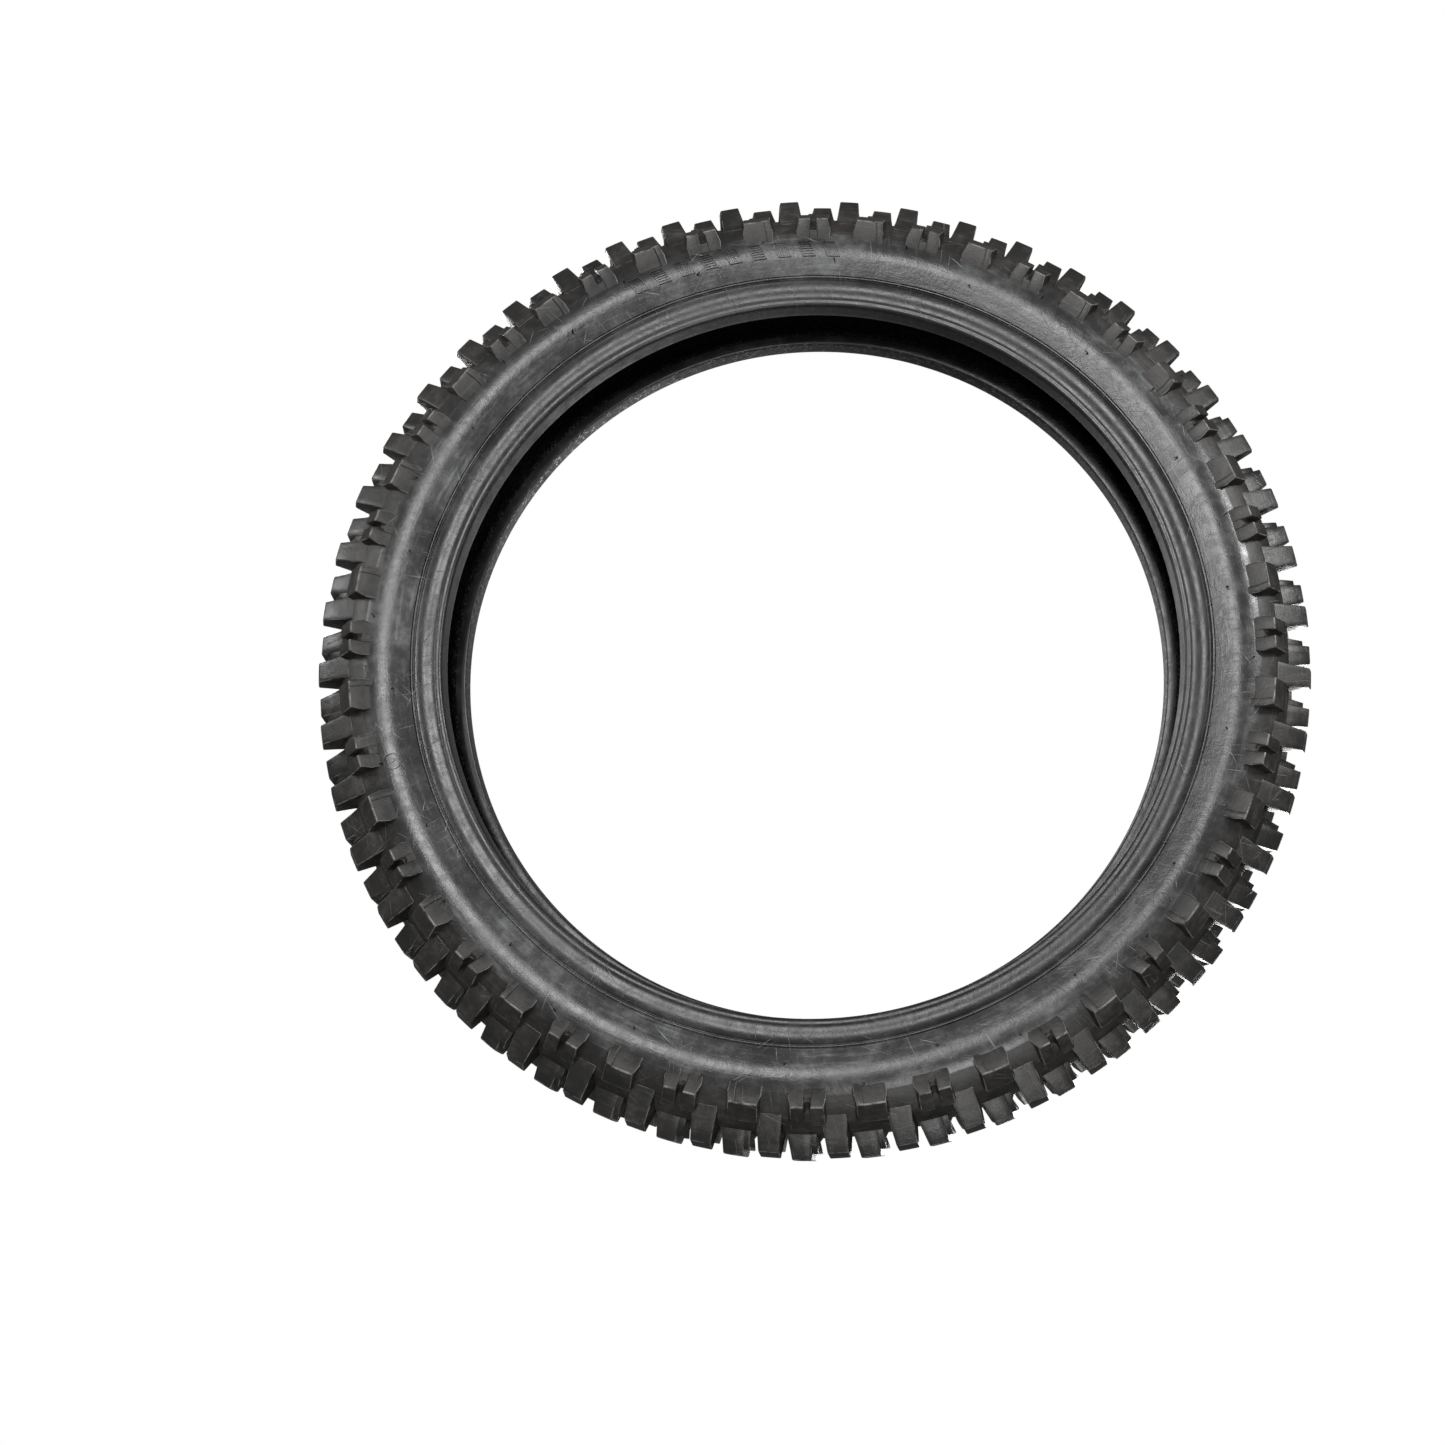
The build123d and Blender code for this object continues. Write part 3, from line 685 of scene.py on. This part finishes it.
def shelf(loop):
    """Presses the front of a centre knob down to a lower shelf."""
    reach = np.hypot(loop[:, 0] - tread_centre[0], loop[:, 1])
    low = np.minimum(reach, tread_arc - shelf_depth) / reach
    return tread_centre + (loop - tread_centre) * low[:, None]


centre_layers = end_layers(-1) + plain[:2]
centre_layers += [(0.52, 0.0, 0.0, None), (0.58, 0.25, 0.0, None), (0.60, 0.0, 0.0, shelf)]
centre_layers += end_layers(1, shelf)[::-1]
centre_knob = knob(centre_loop, centre_length, centre_layers, sweep=centre_sweep)

pairs = stations // 2
knob_row("centre_knob_row", centre_knob, 0.0, stations, "centre_knobs")
for side in ("right", "left"):
    flip = side == "left"
    knob_row(f"split_row_{side}", split_knob, 0.0, pairs, f"split_knobs_{side}", flip)
    knob_row(f"solid_row_{side}", solid_knob, station, pairs, f"solid_knobs_{side}", flip)
    middle_node = f"middle_knobs_{side}"
    knob_row(f"middle_row_{side}", middle_knob, station / 2, stations, middle_node, flip)


# ---- Casing inside ------------------------------------------------------------------------------
# The liner, plies, bead wires and their rubber. Only the liner's inner face shows, black and
# deepened as painted shade: the curing bladder has left it a print of small broken ribs beside
# each bead.


def liner_finish():
    """Black rubber with a knurled band: two sets of slanting ribs that break each other up."""
    f = Finish("liner_rubber")
    radius = (f.x * f.x + f.z * f.z) ** 0.5
    angle = f.add("ShaderNodeMath", {"operation": "ARCTAN2"}, [f.z, f.x])
    left = ((angle * 420.0 + radius * 2400.0).math("SINE")).between(0.2, 0.8)
    right = ((angle * 420.0 - radius * 2100.0).math("SINE")).between(0.1, 0.8)
    broken = f.noise(f.place, 260.0, 2.0).between(0.42, 0.60)
    band = radius.fades(0.197, 0.203)
    ribs = left.math("MAXIMUM", right) * band * broken
    # Painted shade: the liner's base is near-black, darker than the outside rubber, to stand for
    # the shade inside the casing; the ribbed band is its own print.
    colour = f.mix(ribs * 0.35, grey(0.002), grey(0.05))
    f.feed(Base_Color=colour, Roughness=0.62 - ribs * 0.22)
    f.shader.inputs["Specular IOR Level"].default_value = 0.2
    f.bump(ribs + f.noise(f.place, 900.0) * 0.2, 0.8, 0.0006)
    return f.material


def cord_finish(name, cord, gap, count):
    """Cords side by side in black skim rubber: a sine round the wheel, leaned by the offset."""
    f = Finish(name)
    angle = f.add("ShaderNodeMath", {"operation": "ARCTAN2"}, [f.z, f.x])
    cords = ((angle * count + f.y * 2800.0).math("SINE")).between(-0.4, 0.6)
    fray = f.noise(f.place, 700.0, 4.0)
    f.feed(Base_Color=f.mix(cords * (0.5 + fray * 0.5), gap, cord), Roughness=0.75 - cords * 0.15)
    f.bump(cords + fray * 0.3, 0.6, 0.0004)
    return f.material


def wire_finish():
    """Bronze-coated drawn wire: fine lines along it and darker stained stretches."""
    f = Finish("bead_steel")
    lines = f.noise(f.add("ShaderNodeCombineXYZ", {}, [f.y, f.x * 0.02, f.z * 0.02]), 4000.0)
    stain = f.noise(f.place, 60.0).between(0.45, 0.7)
    bright, dark = (0.55, 0.40, 0.20, 1.0), (0.28, 0.19, 0.10, 1.0)
    f.shader.inputs["Metallic"].default_value = 1.0
    f.feed(Base_Color=f.mix(stain, bright, dark), Roughness=0.28 + lines * 0.2)
    return f.material


def core_finish():
    """Hard black bead compound, smooth with a faint extruded grain."""
    f = Finish("core_rubber")
    grain = f.noise(f.place, 500.0, 4.0)
    f.feed(Base_Color=f.mix(grain, grey(0.012), grey(0.03)), Roughness=0.5 + grain * 0.2)
    f.bump(grain, 0.3, 0.0003)
    return f.material


def dress(material, *nodes):
    """Gives CAD nodes a finish."""
    for node in nodes:
        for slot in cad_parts[node].material_slots:
            slot.material = material


nylon = cord_finish("ply_cord", (0.42, 0.36, 0.26, 1.0), grey(0.015), 900.0)
dress(liner_finish(), "inner_liner")
dress(nylon, "inner_ply", "outer_ply", "bead_flipper_left", "bead_flipper_right")
dress(cord_finish("breaker_cord", (0.5, 0.4, 0.26, 1.0), grey(0.02), 500.0), "breaker_ply")
dress(tread_finish, "undertread")
dress(wire_finish(), "bead_wires_left", "bead_wires_right")
compound = core_finish()
dress(compound, "bead_coating_left", "bead_coating_right")
dress(compound, "bead_filler_left", "bead_filler_right")


# ---- Moulded marks ------------------------------------------------------------------------------
# Raised rubber a fraction of a millimetre high, cut into the mould's side plates: a row of
# slanted bars filled with fine ribs, an arrow for the direction of travel, and plain rings.

mark_place = 98.4
mark_radius = side_centre[0] + side_arc * math.cos(math.radians(mark_place))
bar_count = 9
bar_middle = 101.5
bar_step = 3.5
bar_fills = 5


def on_side(turn, radius):
    """A point of the right sidewall and the direction square to it there."""
    rise = (radius - side_centre[0]) / side_arc
    if rise > math.cos(math.radians(side_edge)):
        lean = math.acos(rise)
        offset = side_centre[1] + side_arc * math.sin(lean)
    else:
        lean = math.radians(side_edge)
        offset = down_side(radius)[1]
    c, k = math.cos(turn), math.sin(turn)
    out = np.array([math.cos(lean) * c, math.sin(lean), math.cos(lean) * k])
    return np.array([radius * c, offset, radius * k]), out


def rib(line, width, height):
    """A raised rib along a line of (angle, radius) points: a four-cornered outline at each."""
    places, outs = zip(*(on_side(*point) for point in line))
    places, outs = np.array(places), np.array(outs)
    along = np.gradient(places, axis=0)
    across = np.cross(along, outs)
    across /= np.linalg.norm(across, axis=1)[:, None]
    corners = ((-0.5, -0.15), (-0.28, height), (0.28, height), (0.5, -0.15))
    return np.stack([places + across * width * w + outs * h for w, h in corners], 1)


def gathered(name, grids, material, sign):
    """One mesh from many stacks of outlines, on the right side or mirrored to the left."""
    points, faces, count = [], [], 0
    for grid in grids:
        some_points, some_faces = closed_grid(grid)
        faces.append(some_faces[:, :: int(sign)] + count)
        points.append(some_points * [1, sign, 1])
        count += len(some_points)
    return solid(name, np.concatenate(points), np.concatenate(faces), material)


def mark_line(turn, start, end, count=4):
    """Points from start to end, given along and across a mark that stands at a turn."""
    points = np.linspace(start, end, count)
    return [(turn + along / mark_radius, mark_radius + across) for along, across in points]


bar_ribs = []
for index in range(bar_count):
    turn = math.radians(bar_middle + (index - bar_count // 2) * bar_step)
    low_left, low_right = np.array([-4.4, -3.4]), np.array([1.8, -3.4])
    high_left, high_right = np.array([-1.8, 3.4]), np.array([4.4, 3.4])
    sides = ((low_left, high_left), (low_right, high_right))
    sides += ((low_left, low_right), (high_left, high_right))
    bar_ribs += [rib(mark_line(turn, *side), 0.6, 0.6) for side in sides]
    for share in np.linspace(0, 1, bar_fills + 2)[1:-1]:
        if index % 2:
            start = low_left + (high_left - low_left) * share
            end = low_right + (high_right - low_right) * share
        else:
            start = low_left + (low_right - low_left) * share
            end = high_left + (high_right - high_left) * share
        bar_ribs.append(rib(mark_line(turn, start, end), 0.45, 0.45))
for side, sign in (("right", 1), ("left", -1)):
    dress(sidewall_finish, f"direction_arrow_{side}", f"mark_rings_{side}")
    bars = gathered(f"ribbed_bars_{side}", bar_ribs, sidewall_finish, sign)
    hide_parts(f"marking_bars_{side}")


# ---- Vent whiskers ------------------------------------------------------------------------------
# Thin rubber hairs pulled out of the mould's vent holes, bent over by handling, and the short
# stubs that the vents across the rim line leave.

spread = np.random.default_rng(7)
row_count = 18
stub_count = 20
whiskers = []
# Each row's first angle round the wheel, and its place along the section
for first, place in ((7.0, 112.5), (17.0, 84.0)):
    for index in range(row_count):
        turn = math.radians(first + index * 360 / row_count)
        radius = side_centre[0] + side_arc * math.cos(math.radians(place))
        foot, out = on_side(turn, radius)
        round_wheel = np.array([-math.sin(turn), 0.0, math.cos(turn)])
        fold = spread.uniform(0, 2 * math.pi)
        side_way = round_wheel * math.cos(fold) + np.cross(round_wheel, out) * math.sin(fold)
        other_way = np.cross(side_way, out)
        length, bow = spread.uniform(2.2, 3.4), spread.uniform(0.4, 1.5)
        grid = []
        for t in np.linspace(0, 1, 6):
            lean = bow * t
            centre = foot - out * 0.15 + out * length * math.sin(lean) / bow
            centre = centre + side_way * length * (1 - math.cos(lean)) / bow
            flat = side_way * math.cos(lean) - out * math.sin(lean)
            a = np.linspace(0, 2 * math.pi, 6, endpoint=False)[:, None]
            size = 0.46 - 0.22 * t
            grid.append(centre + size * (np.cos(a) * flat + np.sin(a) * other_way))
        whiskers.append(np.array(grid))
for index in range(stub_count):
    turn = math.radians(5.0 + index * 360 / stub_count)
    stub = [(turn + (r - 191.0) * 0.0012, r) for r in (190.2, 190.8, 191.6, 192.4)]
    whiskers.append(rib(stub, 0.7, 0.55))
for side, sign in (("right", 1), ("left", -1)):
    hairs = gathered(f"vent_hairs_{side}", whiskers, tread_finish, sign)
    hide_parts(f"vent_spews_{side}")


# ---- Stage --------------------------------------------------------------------------------------
# A surround with no floor: plain white to the camera, and dimmer where it lights the rubber,
# brightest from the front. Lamps in front pick out the knobs' edges, and two light the rear.

world = bpy.data.worlds.new("surround")
bpy.context.scene.world = world
world.use_nodes = True
sky = world.node_tree
backdrop = sky.nodes["Background"]
backdrop.inputs["Color"].default_value = (1.0, 1.0, 1.0, 1.0)
ambient = sky.nodes.new("ShaderNodeBackground")
look = sky.nodes.new("ShaderNodeTexCoord").outputs["Generated"]
parts = sky.nodes.new("ShaderNodeSeparateXYZ")
sky.links.new(look, parts.inputs[0])
front = sky.nodes.new("ShaderNodeMapRange")
front.interpolation_type = "SMOOTHSTEP"
front_strength, back_strength = 0.48, 0.16
for index, value in enumerate((-1.0, 0.6, front_strength, back_strength)):
    front.inputs[index + 1].default_value = value
sky.links.new(parts.outputs[1], front.inputs[0])
sky.links.new(front.outputs[0], ambient.inputs["Strength"])
choice = sky.nodes.new("ShaderNodeMixShader")
sky.links.new(sky.nodes.new("ShaderNodeLightPath").outputs["Is Camera Ray"], choice.inputs[0])
sky.links.new(ambient.outputs[0], choice.inputs[1])
sky.links.new(backdrop.outputs[0], choice.inputs[2])
sky.links.new(choice.outputs[0], sky.nodes["World Output"].inputs[0])


def lamp(name, place, aim, size, power):
    """A square area light that faces a point."""
    data = bpy.data.lights.new(name, "AREA")
    data.energy = power
    data.size = size
    light = bpy.data.objects.new(name, data)
    bpy.context.scene.collection.objects.link(light)
    line = np.asarray(aim, float) - place
    light.location = place
    turn_z = math.atan2(line[1], line[0]) - math.pi / 2
    light.rotation_euler = (math.pi / 2 + math.asin(line[2] / np.linalg.norm(line)), 0, turn_z)


lamp("key", (1.1, -0.9, 0.7), (0, 0, 0), 0.3, 14)
lamp("side", (-1.3, -0.5, 0.5), (0, 0, 0), 0.3, 4)
lamp("low", (0.4, -1.3, -0.9), (0, 0, -0.2), 0.4, 9)
lamp("sheen", (-0.3, -1.5, 0.35), (0, 0, -0.05), 0.5, 15)
lamp("rear", (-0.8, 1.2, 0.7), (0, 0, 0), 0.5, 16)
lamp("rear_low", (0.6, 1.4, -0.2), (0, 0, 0), 0.6, 12)

camera_data = bpy.data.cameras.new("camera")
camera = bpy.data.objects.new("camera", camera_data)
bpy.context.scene.collection.objects.link(camera)
camera.location = (0.0294, -0.5328, -0.1828)
camera.rotation_euler = (math.radians(90 + 9.17), 0, math.radians(0.72))
camera_data.sensor_width = 36.0
camera_data.lens = 27.71
camera_data.shift_x = -0.0947
camera_data.shift_y = 0.0869
camera_data.clip_start = 0.01
bpy.context.scene.camera = camera
bpy.context.scene.view_settings.view_transform = "Standard"
